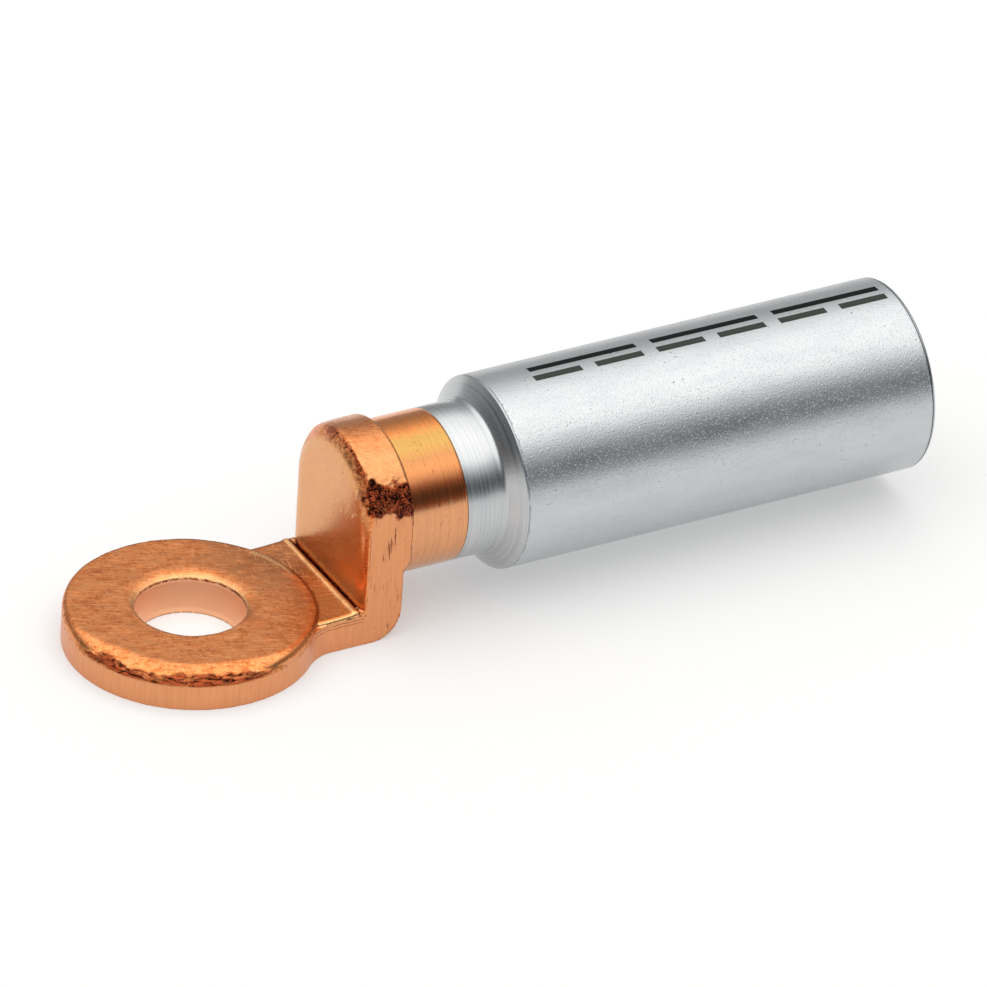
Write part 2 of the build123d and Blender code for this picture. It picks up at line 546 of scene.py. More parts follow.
@dataclass
class CopperSkin:
    """What the dies, the shear, the lathe, heating and handling left on the forging's surface, and
    the shade, reflections and highlights painted on it.
    """

    palm: CopperPalm
    points: Array
    normals: Array
    wave_length: float = 3.4
    wave_height: float = 0.035
    dent_length: float = 1.3
    dent_height: float = 0.018

    # Where the marks lie: distance from the hole's axis, height, turn in degrees, and tilt
    rim_reach: Span = (14.4, 16.2)
    crease_heights: Span = (4.2, 4.85)
    patch_turn: Span = (50.0, 95.0)
    patch_side: Span = (-12.0, -7.0)
    patch_heights: Span = (18.2, 30.0)
    arc_turn: Span = (-14.0, 62.0)
    arc_tilt: Span = (0.46, 0.74)
    arc_strength: float = 0.78
    lip_heights: Span = (4.3, 4.55)
    crumb_size: float = 0.45
    pressed_tilt: Span = (0.82, 0.96)
    reflection_reach: Span = (14.1, 15.0)
    foot_heights: Span = (4.9, 5.2)
    highlight_reach: Span = (15.2, 15.95)
    highlight_turn: Span = (8.0, 33.0)

    def __post_init__(self) -> None:
        """Works out the measures that most layers need."""
        self.x, self.y, self.z = self.points.T
        self.reach = np.hypot(self.x, self.y)
        self.around = np.degrees(np.arctan2(self.y, self.x))
        self.wall = self.palm.hole_wall(self.x, self.y, self.z)

    def layers(self) -> dict[str, Array]:
        """All the layers, under the names of the mesh attributes that hold them."""
        return {"scale_and_painted_shade": self.scale_and_painted_shade(), "pallor_and_painted_light": self.pallor_and_painted_light(), "shade_and_heat_tint": self.shade_and_heat_tint(),
                "painted_reflection_and_red": self.painted_reflection_and_red(), "highlight_and_fleck": self.highlight_and_fleck()}

    def regions(self) -> Array:
        """Says how each place on the surface was made.

        Returns:
            The number of a Region for each point.
        """
        palm, x, y, z = self.palm, self.x, self.y, self.z
        axis = np.hypot(y, z - palm.axis_height)
        upright = np.abs(self.normals[:, 2]) < 0.5
        outer = (x < palm.web_front + 2) & upright & (self.reach > palm.hole_radius + 3)
        plain = palm.front_share(x, y, *palm.rim_spread) < 0.2
        side = outer & ((z < palm.trim_height + 0.02) | (plain & (z < palm.neck_trim)))
        hole = (self.reach < self.wall + 0.15) & upright
        flank = (np.abs(self.normals[:, 1]) > 0.9) & (np.abs(y) > palm.neck_half - 0.2)
        flank &= x > palm.web_front + 0.1
        turned = (x > palm.head_end - 0.05) & (axis < palm.shank_radius + 0.05)
        turned |= (x > palm.head_end - 0.3) & (self.normals[:, 0] > 0.5)
        region = np.where(side | hole | flank, Region.SHEARED.value, Region.FORGED.value)
        return np.where(turned, Region.TURNED.value, region)

    def scale_and_painted_shade(self) -> Array:
        """Says where it is darkened: scale on the head, partly a painted dark reflection, painted
        dark reflections on the ring's rim and the head's brow, and darker marks in the crease, the
        hole's lip and the crease's near end.

        Returns:
            A share from 0 to 1 for each point.
        """
        palm, x, y, z = self.palm, self.x, self.y, self.z
        wander = value_noise(self.points, 1.6, 21) + 0.6 * value_noise(self.points, 0.7, 22)

        # Painted dark reflection along the foot of the ring's rim, and more where the die rounded
        # it most
        near = palm.front_share(x, y, 0.5, 0.9)
        rim = band(z, palm.trim_height + 0.05, 3.6 + 0.7 * near + 0.3 * wander * near, 0.15)
        rim *= band(self.reach, *self.rim_reach, 0.2) * palm.front_share(x, y) * (0.3 + 0.43 * near)

        # In the crease at the foot of the web
        crease = band(x, palm.web_front - 0.22, palm.web_front - 0.1, 0.1)
        crease *= band(z, *self.crease_heights, 0.2) * (np.abs(y) < palm.neck_half) * 0.85

        # The patch of scale on the head's near side, partly a painted dark reflection, and the
        # brown arc round its brow, a painted dark reflection on the brow's rounding
        turn = np.degrees(np.arctan2(-y, z - palm.axis_height)) + 6 * wander
        patch = band(turn, *self.patch_turn, 5) * band(y, *self.patch_side, 0.5)
        patch *= band(x + 0.9 * wander, palm.web_front + 1.5, palm.head_end + 0.3, 1.2)
        patch *= band(z + 0.7 * wander, *self.patch_heights, 0.6)
        patch *= np.clip(0.86 + 0.2 * wander, 0, 0.97)
        arc = band(0.12 * wander - self.normals[:, 0], *self.arc_tilt, 0.16)
        arc *= band(turn, *self.arc_turn, 8)
        arc *= band(x, palm.web_front, palm.web_front + 2.0, 0.6)
        arc *= (z > 16) * (0.8 + 0.2 * value_noise(self.points, 3.0, 23)) * self.arc_strength

        # Inside the hole's lip, and a crumb where the crease runs out on the near side
        lip = band(self.reach - self.wall, -0.2, 0.2, 0.15)
        lip *= band(z, *self.lip_heights, 0.15) * 0.6
        ends = np.array([palm.web_front, -palm.neck_half, palm.neck_thickness + 0.35])
        away = np.linalg.norm(self.points - ends, axis=1)
        crumb = np.clip(1.6 - away / self.crumb_size + 0.4 * wander, 0, 1)
        return np.maximum.reduce([rim, crease, patch, arc, lip, crumb]) * (z > 0.5)

    def pallor_and_painted_light(self) -> Array:
        """Says where the copper is paler: pressed on the web's front, lower down on the head, and
        painted light on the punched wall and on the neck's near side.

        Returns:
            A share from 0 to 1 for each point.
        """
        palm, x, y, z = self.palm, self.x, self.y, self.z
        head = ramp_up(x, palm.web_front - 0.1, palm.web_front + 0.1) * (z > 4)
        front = head * ramp_up(-self.normals[:, 0], *self.pressed_tilt)
        # Light painted on the punched wall, in place of the dim floor that it reflects
        punched = (self.reach < self.wall + 0.15) * 1.0
        side = head * np.clip((25.5 - z) / 2.5, 0.1, 0.6)
        side *= ramp_up(self.normals[:, 0], -0.42, -0.27)
        # Light painted on the neck's near side, next to the web
        neck = np.clip((x - 12) / 3, 0, 0.7) * ramp_up(-y, 0, 5) * (x < palm.web_front)
        return np.maximum.reduce([side, front, punched, neck])

    def shade_and_heat_tint(self) -> Array:
        """Says where it is browner: painted shade on the neck's far side and the ring beside it,
        next to the web, and browning by heating on the head.

        Returns:
            A share from 0 to 1.3 for each point.
        """
        # Painted shade on the neck's far side and the ring beside it, next to the web
        neck = ramp_up(self.x, 5, 13) * ramp_up(self.y, -4, 3) * (self.z > 4)
        behind = np.where(self.x > 20.6, 0.25, 0.0)
        return np.where(self.x < self.palm.web_front, 1.3 * neck, behind)

    def painted_reflection_and_red(self) -> Array:
        """Says where it is redder: a painted reflection on the ring's rim by the neck, and the
        web's near edge.

        Returns:
            A share from 0 to 1 for each point.
        """
        palm, x, y, z = self.palm, self.x, self.y, self.z
        # Painted reflection on the ring's rim by the neck
        rim = ramp_up(self.reach, *self.reflection_reach) * (self.reach < palm.ring_radius)
        rim *= ramp_up(self.around, -55, -30) * ramp_up(self.around, 12, 4)
        edge = ramp_up(-y, 7.2, 8.4) * ramp_up(z, 17.5, 14.5) * (z > 5)
        edge *= within(x, palm.web_front - 0.1, palm.web_front + 1.5)
        return np.maximum(0.7 * rim * (z > palm.neck_thickness), 0.4 * edge)

    def highlight_and_fleck(self) -> Array:
        """Says where highlights are painted on edges: bead, web's foot, neck, hole's lip and rim.

        Returns:
            A share from 0 to 1 for each point.
        """
        x, y, z, reach, tilt = self.x, self.y, self.z, self.reach, self.normals[:, 2]
        front = self.palm.web_front
        inside = (np.abs(y) < self.palm.neck_half) & (z > self.palm.neck_thickness)
        # Painted highlights: the bead's top, the bead's reflection in the web's foot, the neck's
        # near edge, the hole's far lip, and a line on the ring's rim
        bead = inside & within(x, front - 0.95, front - 0.3) & (tilt > 0.7)
        foot = inside & within(x, front - 0.1, front + 0.3) & within(z, *self.foot_heights)
        edge = within(x, 13, front) & (y < -9.2) & (z > 4.2) & within(tilt, 0.25, 0.98)
        lip = (reach < 10) & (y > 0) & within(tilt, 0.6, 0.985)
        line = within(reach, *self.highlight_reach) & within(self.around, *self.highlight_turn)
        line &= z > 4.7
        painted_bright = np.maximum.reduce([bead * 1.0, foot * 0.7, edge * 0.9, lip * 0.45, line * 0.8])
        return painted_bright * (0.85 + 0.15 * value_noise(self.points, 0.9, 24))

    def flow(self) -> Array:
        """Coordinates for the scale's pattern, which is drawn out along the ring's rim.

        Returns:
            A vector for each point, in metres.
        """
        along = 0.3 * self.palm.ring_radius * np.arctan2(self.y, self.x)
        arc = np.stack([along, self.reach, self.z], axis=1)
        return np.where((self.x < self.palm.web_front - 2)[:, None], arc, self.points) * MM

    def waves(self, place: Array) -> Array:
        """Height of the forged skin's slight waves and dents at each place."""
        waves = value_noise(place, self.wave_length, 11) * self.wave_height
        return waves + value_noise(place, self.dent_length, 12) * self.dent_height

    def weather(self, region: Array) -> tuple[Array, Array]:
        """Gives the surface its waves, which are strongest where it was only forged.

        Args:
            region: The number of a Region for each point.

        Returns:
            The moved points and their turned normals.
        """
        share = np.where(region == Region.FORGED.value, 1.0, 0.0)
        share[region == Region.SHEARED.value] = 0.25
        share *= ramp_up(self.z, 0.2, 0.7)
        share[(self.normals[:, 0] < -0.9) & (self.z > 5)] *= 0.35
        rise = slope_of(self.waves, self.points, 0.05)
        rise -= self.normals * np.einsum("ij,ij->i", rise, self.normals)[:, None]
        moved = self.points + self.normals * (self.waves(self.points) * share)[:, None]
        turned = self.normals - rise * share[:, None]
        return moved, turned / np.linalg.norm(turned, axis=1, keepdims=True)


@dataclass
class AluminiumBarrel:
    """Turned collar and shoulder, and the drawn barrel with its blind bore."""

    axis_height: float = AXIS_HEIGHT
    weld: float = WELD
    collar_radius: float = SHANK_RADIUS
    collar_end: float = 39.0
    root_radius: float = 0.8
    shoulder_end: float = 40.8
    shoulder_round: float = 0.3
    radius: float = BARREL_RADIUS
    end: float = 99.9
    end_chamfer: float = 0.35
    bore_radius: float = 8.15
    bore_bottom: float = 43.9
    mouth_chamfer: float = 0.8
    drill_angle: float = 118.0
    small_edge: float = 0.05
    edge_strip: float = 0.3
    segments: int = 360

    def profile(self) -> list[tuple[float, float, int]]:
        """The section's outline, from the weld round to the bore's point.

        Returns:
            Distance along the lug, radius, and material slot of the band that follows.
        """
        lean = math.atan2(self.radius - self.collar_radius, self.shoulder_end - self.collar_end)
        root = self.collar_end - self.root_radius * math.tan(lean / 2)
        corner = [(self.weld, 0, 1), (self.weld, self.collar_radius - self.small_edge, 1),
                  (self.weld + self.small_edge, self.collar_radius, 1),
                  (root - self.edge_strip, self.collar_radius, 1)]
        for turn in (lean * n / 8 for n in range(9)):
            radius = self.collar_radius + self.root_radius * (1 - math.cos(turn))
            corner.append((root + self.root_radius * math.sin(turn), radius, 1))
        edge = self.shoulder_round
        back = edge * math.tan(lean / 2)
        for n in range(6):
            turn = lean * (1 - n / 5)
            x = self.shoulder_end + back - edge * math.sin(turn)
            corner.append((x, self.radius - edge + edge * math.cos(turn), 1 if n < 3 else 0))
        corner += [(self.shoulder_end + 2 * self.edge_strip, self.radius, 0),
                   (self.end - self.end_chamfer - 2 * self.edge_strip, self.radius, 0)]
        for turn in (math.radians(90 * n / 5) for n in range(6)):
            x = self.end - self.end_chamfer * (1 - math.sin(turn))
            corner.append((x, self.radius - self.end_chamfer * (1 - math.cos(turn)), 1))
        mouth, inside = self.bore_radius + self.mouth_chamfer, self.end - self.mouth_chamfer
        rim = self.radius - self.end_chamfer - self.edge_strip
        corner += [(self.end, rim, 1), (self.end, mouth + 2 * self.small_edge, 1),
                   (self.end, mouth, 1), (self.end - self.small_edge, mouth - self.small_edge, 1),
                   (inside + self.small_edge, self.bore_radius + self.small_edge, 1),
                   (inside, self.bore_radius, 1), (inside - self.edge_strip, self.bore_radius, 1),
                   (self.bore_bottom, self.bore_radius, 1),
                   (self.bore_bottom - 0.03, self.bore_radius - self.small_edge, 1)]
        depth = self.bore_radius / math.tan(math.radians(self.drill_angle / 2))
        return corner + [(self.bore_bottom - depth, 0, 1)]

    def build(self) -> bpy.types.Object:
        """Turns the section into a closed mesh.

        Returns:
            The finished piece.
        """
        rows = self.profile()
        angles = np.arange(self.segments) * 2 * math.pi / self.segments
        points, starts = [], []
        for x, radius, _ in rows:
            starts.append(len(points))
            for turn in [0.0] if radius == 0 else angles:
                points.append((x * MM, radius * math.sin(turn) * MM,
                               (self.axis_height + radius * math.cos(turn)) * MM))
        faces, slots = [], []
        for n, (a, b) in enumerate(zip(starts, starts[1:])):
            for k in range(self.segments):
                after = (k + 1) % self.segments
                if rows[n][1] == 0:
                    faces.append((a, b + k, b + after))
                elif rows[n + 1][1] == 0:
                    faces.append((a + k, b, a + after))
                else:
                    faces.append((a + k, b + k, b + after, a + after))
                slots.append(rows[n][2])
        mesh = bpy.data.meshes.new("aluminium_barrel_turned")
        mesh.from_pydata(points, [], faces)
        for finish in (DrawnAluminium(), TurnedAluminium()):
            mesh.materials.append(finish.build())
        mesh.polygons.foreach_set("material_index", slots)
        mesh.polygons.foreach_set("use_smooth", [True] * len(faces))
        mesh.update()
        piece = new_object("barrel_drawn", mesh)
        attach(piece, "root")
        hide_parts("aluminium_barrel")
        return piece


@dataclass
class DashRow:
    """One row of printed dashes that lies on the barrel."""

    name: str
    count: int
    first: float
    pitch: float
    length: float
    width: float
    angle_start: float
    angle_end: float
    ink: Colour


@dataclass
class CrimpMarks:
    """The printed dashes that show where the crimping tool bites."""

    axis_height: float = AXIS_HEIGHT
    radius: float = BARREL_RADIUS
    thickness: float = 0.012
    rows: tuple = (
        DashRow("crimp_marks_long", 3, 47.7, 17.55, 15.3, 1.15, -7.35, -4.75, linear("0B0D0E")),
        DashRow("crimp_marks_short", 6, 47.4, 8.82, 6.75, 1.12, 2.85, 4.8, linear("3C3F3A")),
    )

    def tree(self) -> bpy.types.GeometryNodeTree:
        """Builds the tree that repeats a dash along the barrel and bends it round.

        Returns:
            A node tree with named inputs for every size.
        """
        tree = bpy.data.node_groups.new("printed_dash_row", "GeometryNodeTree")
        tree.interface.new_socket("Geometry", in_out="OUTPUT", socket_type="NodeSocketGeometry")
        tree.interface.new_socket("Count", in_out="INPUT", socket_type="NodeSocketInt")
        for name in ("First", "Pitch", "Length", "Width", "Thickness", "Radius", "Axis Height",
                     "Start Angle", "Angle Per Metre"):
            tree.interface.new_socket(name, in_out="INPUT", socket_type="NodeSocketFloat")
        tree.interface.new_socket("Ink", in_out="INPUT", socket_type="NodeSocketMaterial")
        given = add_node(tree, "NodeGroupInput").node.outputs

        # A row of flat dashes, laid out along x
        size = add_node(tree, "ShaderNodeCombineXYZ", [
            given["Length"], given["Width"], given["Thickness"]])
        dash = add_node(tree, "GeometryNodeMeshCube", {
            "Size": size, "Vertices X": 25, "Vertices Y": 5, "Vertices Z": 2})
        half = add_node(tree, "ShaderNodeMath", [given["Length"], 0.5], operation="MULTIPLY")
        start = add_node(tree, "ShaderNodeMath", [given["First"], half], operation="ADD")
        line = add_node(tree, "GeometryNodeMeshLine", {
            "Count": given["Count"],
            "Start Location": add_node(tree, "ShaderNodeCombineXYZ", [start]),
            "Offset": add_node(tree, "ShaderNodeCombineXYZ", [given["Pitch"]])}, mode="OFFSET")
        copies = add_node(tree, "GeometryNodeInstanceOnPoints", {
            "Points": line, "Instance": dash})
        real = add_node(tree, "GeometryNodeRealizeInstances", [copies])

        # The angle at which each point lies round the barrel, and its place there
        place = add_node(tree, "GeometryNodeInputPosition")
        place = add_node(tree, "ShaderNodeSeparateXYZ", [place]).node.outputs
        along = add_node(tree, "ShaderNodeMath", [place["X"], given["First"]],
                         operation="SUBTRACT")
        drift = add_node(tree, "ShaderNodeMath", [
            along, given["Angle Per Metre"], given["Start Angle"]], operation="MULTIPLY_ADD")
        across = add_node(tree, "ShaderNodeMath", [place["Y"], given["Radius"]],
                          operation="DIVIDE")
        turn = add_node(tree, "ShaderNodeMath", [drift, across], operation="ADD")
        sine = add_node(tree, "ShaderNodeMath", [turn], operation="SINE")
        cosine = add_node(tree, "ShaderNodeMath", [turn], operation="COSINE")
        reach = add_node(tree, "ShaderNodeMath", [place["Z"], given["Radius"]], operation="ADD")
        side = add_node(tree, "ShaderNodeMath", [sine, reach], operation="MULTIPLY")
        side = add_node(tree, "ShaderNodeMath", [side, -1.0], operation="MULTIPLY")
        height = add_node(tree, "ShaderNodeMath", [cosine, reach, given["Axis Height"]],
                          operation="MULTIPLY_ADD")
        bent = add_node(tree, "ShaderNodeCombineXYZ", [place["X"], side, height])
        laid = add_node(tree, "GeometryNodeSetPosition", {"Geometry": real, "Position": bent})
        inked = add_node(tree, "GeometryNodeSetMaterial", {
            "Geometry": laid, "Material": given["Ink"]})
        add_node(tree, "NodeGroupOutput", [inked])
        return tree

    def build(self) -> list[bpy.types.Object]:
        """Makes one piece for each row of dashes.

        Returns:
            The finished pieces.
        """
        tree = self.tree()
        names = {item.name: item.identifier for item in tree.interface.items_tree
                 if item.in_out == "INPUT"}
        pieces = []
        for row in self.rows:
            carrier = new_object(row.name + "_carrier", bpy.data.meshes.new("carrier"))
            modifier = carrier.modifiers.new("dashes", "NODES")
            modifier.node_group = tree
            span = row.pitch * (row.count - 1) + row.length
            slope = math.radians(row.angle_end - row.angle_start) / (span * MM)
            given = {
                "Count": row.count, "First": row.first * MM, "Pitch": row.pitch * MM,
                "Length": row.length * MM, "Width": row.width * MM,
                "Thickness": self.thickness * MM, "Radius": self.radius * MM,
                "Axis Height": self.axis_height * MM,
                "Start Angle": math.radians(row.angle_start), "Angle Per Metre": slope,
                "Ink": PrintedInk(row.name + "_ink", row.ink).build(),
            }
            for name, value in given.items():
                modifier[names[name]] = value
            graph = bpy.context.evaluated_depsgraph_get()
            mesh = bpy.data.meshes.new_from_object(carrier.evaluated_get(graph))
            bpy.data.objects.remove(carrier)
            piece = new_object(row.name, mesh)
            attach(piece, "root")
            pieces.append(piece)
        return pieces


@dataclass(frozen=True)
class Pattern:
    """A random pattern that keeps its own lengths, in millimetres along x, y and z."""

    lengths: Triple
    detail: float = 2.0
    roughness: float = 0.5
    distortion: float = 0.0
    turn: float = 0.0

    def lay(self, tree: Tree, place: Socket | None = None) -> Socket:
        """Adds the pattern to a material.

        Args:
            tree: The material's tree.
            place: Coordinates in metres, or nothing for the place on the piece.

        Returns:
            A value that is mostly near 0.5.
        """
        if place is None:
            place = add_node(tree, "ShaderNodeTexCoord", out="Object")
        turned = add_node(tree, "ShaderNodeVectorRotate", {
            "Vector": place, "Angle": math.radians(self.turn)}, rotation_type="Z_AXIS")
        scaled = add_node(tree, "ShaderNodeVectorMath", [
            turned, tuple(1 / (length * MM) for length in self.lengths)], operation="MULTIPLY")
        return add_node(tree, "ShaderNodeTexNoise", {
            "Vector": scaled, "Scale": 1.0, "Detail": self.detail, "Roughness": self.roughness,
            "Distortion": self.distortion})


@dataclass(frozen=True)
class Finish:
    """What every finish has: a name, and a way to become a material."""

    name: str

    def shader(self, tree: Tree) -> Socket:
        """Builds the finish's own nodes and gives their shader."""
        raise NotImplementedError

    def build(self) -> bpy.types.Material:
        """Makes the material.

        Returns:
            The material.
        """
        material = bpy.data.materials.new(self.name)
        material.use_nodes = True
        tree = material.node_tree
        tree.nodes.clear()
        add_node(tree, "ShaderNodeOutputMaterial", [self.shader(tree)])
        return material


@dataclass(frozen=True)
class BareMetal(Finish):
    """A metal with no coat on it: all that it shows is its colour, its polish and its relief."""

    def look(self, tree: Tree) -> Look:
        """Gives the metal's colour, roughness and normal."""
        raise NotImplementedError

    def shader(self, tree: Tree) -> Socket:
        """Joins colour, roughness and normal into a metal."""
        colour, roughness, normal = self.look(tree)
        return add_node(tree, "ShaderNodeBsdfPrincipled", {
            "Base Color": colour, "Metallic": 1.0, "Roughness": roughness, "Normal": normal})


@dataclass(frozen=True)
class ScaleAndPaintedShade:
    """Scale and charred lubricant in the forging's low places, and painted dark reflections on the
    ring's rim and the head's brow: a brown discolouring with black crumbs.
    """

    black: Colour = linear("1C0A07")
    rust_and_shade: Colour = linear("6E2E1A")
    stain_and_shade: Colour = linear("B25430")
    crust: Pattern = Pattern((0.75, 0.75, 0.75), 4.0, 0.65, 1.0)
    crumb: Pattern = Pattern((0.6, 0.6, 0.6), 4.0, 0.6, 1.5)
    depth: float = 0.3

    def lay(self, tree: Tree, under: Socket) -> tuple[Socket, Socket]:
        """Lays the scale and the painted shade over a colour, where the piece's attribute asks for
        it.

        Args:
            tree: The material's tree.
            under: The colour below it.

        Returns:
            The colour, and the height of the crumbs.
        """
        flow = add_node(tree, "ShaderNodeAttribute", out="Vector", attribute_name="flow")
        scale_and_painted_shade = add_node(tree, "ShaderNodeAttribute", out="Fac", attribute_name="scale_and_painted_shade")
        kept = add_node(tree, "ShaderNodeMath", [self.crust.lay(tree, flow), 1.3, scale_and_painted_shade],
                        operation="MULTIPLY_ADD")
        share = add_node(tree, "ShaderNodeMapRange", [kept, 0.95, 1.45],
                         interpolation_type="SMOOTHSTEP")
        crumb = self.crumb.lay(tree, flow)
        darkened = add_node(tree, "ShaderNodeMath", [scale_and_painted_shade, -0.23, crumb],
                         operation="MULTIPLY_ADD")
        tone = set_ramp(add_node(tree, "ShaderNodeValToRGB", [darkened]), [
            (0.23, self.black), (0.31, self.rust_and_shade), (0.41, self.stain_and_shade)])
        height = add_node(tree, "ShaderNodeMath", [crumb, scale_and_painted_shade], operation="MULTIPLY")
        return lay_colours(tree, under, [(share, tone)]), height


@dataclass(frozen=True)
class ForgedCopper(BareMetal):
    """Bare electrolytic copper as the forging die left it: satin, brown-gold, uneven.

    It is paler where light is painted on the neck's near side, darker where shade is painted on its
    far side, browner from heating on the head, and redder on the web's near edge and where a
    reflection is painted on the ring's rim by the neck. It has fine dimples, short scratches from
    handling, dark scale in the low places, partly painted shade, and highlights painted on its
    edges.
    """

    name: str = "bare_copper_die_forged"
    light: Colour = linear("EFA067")
    middle: Colour = linear("E68B50")
    dark: Colour = linear("BF6C39")
    # Pale where pressed, and where light is painted
    pale: Colour = linear("E2A773")
    # Brown where shade is painted on the neck's far side, and on the heated head
    brown: Colour = linear("A0643E")
    # Red of the reflection painted on the ring's rim by the neck
    red: Colour = linear("F08A50")
    # Colour of the highlights painted on the edges
    highlight_and_fleck: Colour = linear("F6BC82")
    patch: Pattern = Pattern((2.6, 2.6, 2.6), 3.0, 0.6)
    mottle: Pattern = Pattern((0.62, 0.62, 0.62), 3.0, 0.7, 0.6)
    brush: Pattern = Pattern((1.9, 0.2, 0.3), 2.0, 0.7, turn=26)
    long_scratch: Pattern = Pattern((2.2, 0.15, 0.15), 1.0, turn=31)
    cross_scratch: Pattern = Pattern((0.17, 1.8, 0.17), 1.0, turn=12)
    scratch_depth: float = 0.01
    dimple: Pattern = Pattern((0.4, 0.4, 0.4))
    dimple_depth: float = 0.014

    def look(self, tree: Tree) -> Look:
        """Mixes mottle, painted light and shade, a painted reflection, painted highlights, browning
        by heating, scratches and scale.

        Args:
            tree: The material's tree.

        Returns:
            The colour, the roughness and the normal.
        """
        pallor_and_painted_light, shade_and_heat_tint, painted_reflection_and_red, highlight_and_fleck = (
            add_node(tree, "ShaderNodeAttribute", out="Fac", attribute_name=name)
            for name in ("pallor_and_painted_light", "shade_and_heat_tint", "painted_reflection_and_red", "highlight_and_fleck"))
        patch = self.patch.lay(tree)
        both = add_node(tree, "ShaderNodeMath", [patch, 0.6, self.mottle.lay(tree)],
                        operation="MULTIPLY_ADD")
        both = add_node(tree, "ShaderNodeMath", [self.brush.lay(tree), 1.1, both],
                        operation="MULTIPLY_ADD")
        both = add_node(tree, "ShaderNodeMath", [both, 0.5], operation="MULTIPLY")
        tone = set_ramp(add_node(tree, "ShaderNodeValToRGB", [both]), [
            (0.57, self.dark), (0.67, self.middle), (0.78, self.light)])
        darkened = add_node(tree, "ShaderNodeMath", [shade_and_heat_tint, patch], operation="MULTIPLY")
        crossed = add_node(tree, "ShaderNodeMath", [
            self.long_scratch.lay(tree), self.cross_scratch.lay(tree)], operation="MAXIMUM")
        cut = add_node(tree, "ShaderNodeMapRange", [crossed, 0.63, 0.72])
        # Pale where pressed and where light is painted, brown where shade is painted and on the
        # heated head, red where a reflection is painted, bright where highlights are painted, and
        # the scratches
        colour = lay_colours(tree, tone, [
            (pallor_and_painted_light, self.pale), (darkened, self.brown), (painted_reflection_and_red, self.red), (highlight_and_fleck, self.highlight_and_fleck),
            (cut, self.light)])
        scale = ScaleAndPaintedShade()
        colour, crumbs = scale.lay(tree, colour)
        sheen = add_node(tree, "ShaderNodeMapRange", [both, 0.5, 0.85, 0.38, 0.22])
        smooth = add_node(tree, "ShaderNodeMapRange", [pallor_and_painted_light, 0.0, 1.0, 1.0, 0.72])
        sheen = add_node(tree, "ShaderNodeMath", [sheen, smooth], operation="MULTIPLY")
        return colour, sheen, lay_relief(tree, [
            (cut, -self.scratch_depth), (self.dimple.lay(tree), self.dimple_depth),
            (crumbs, scale.depth)])


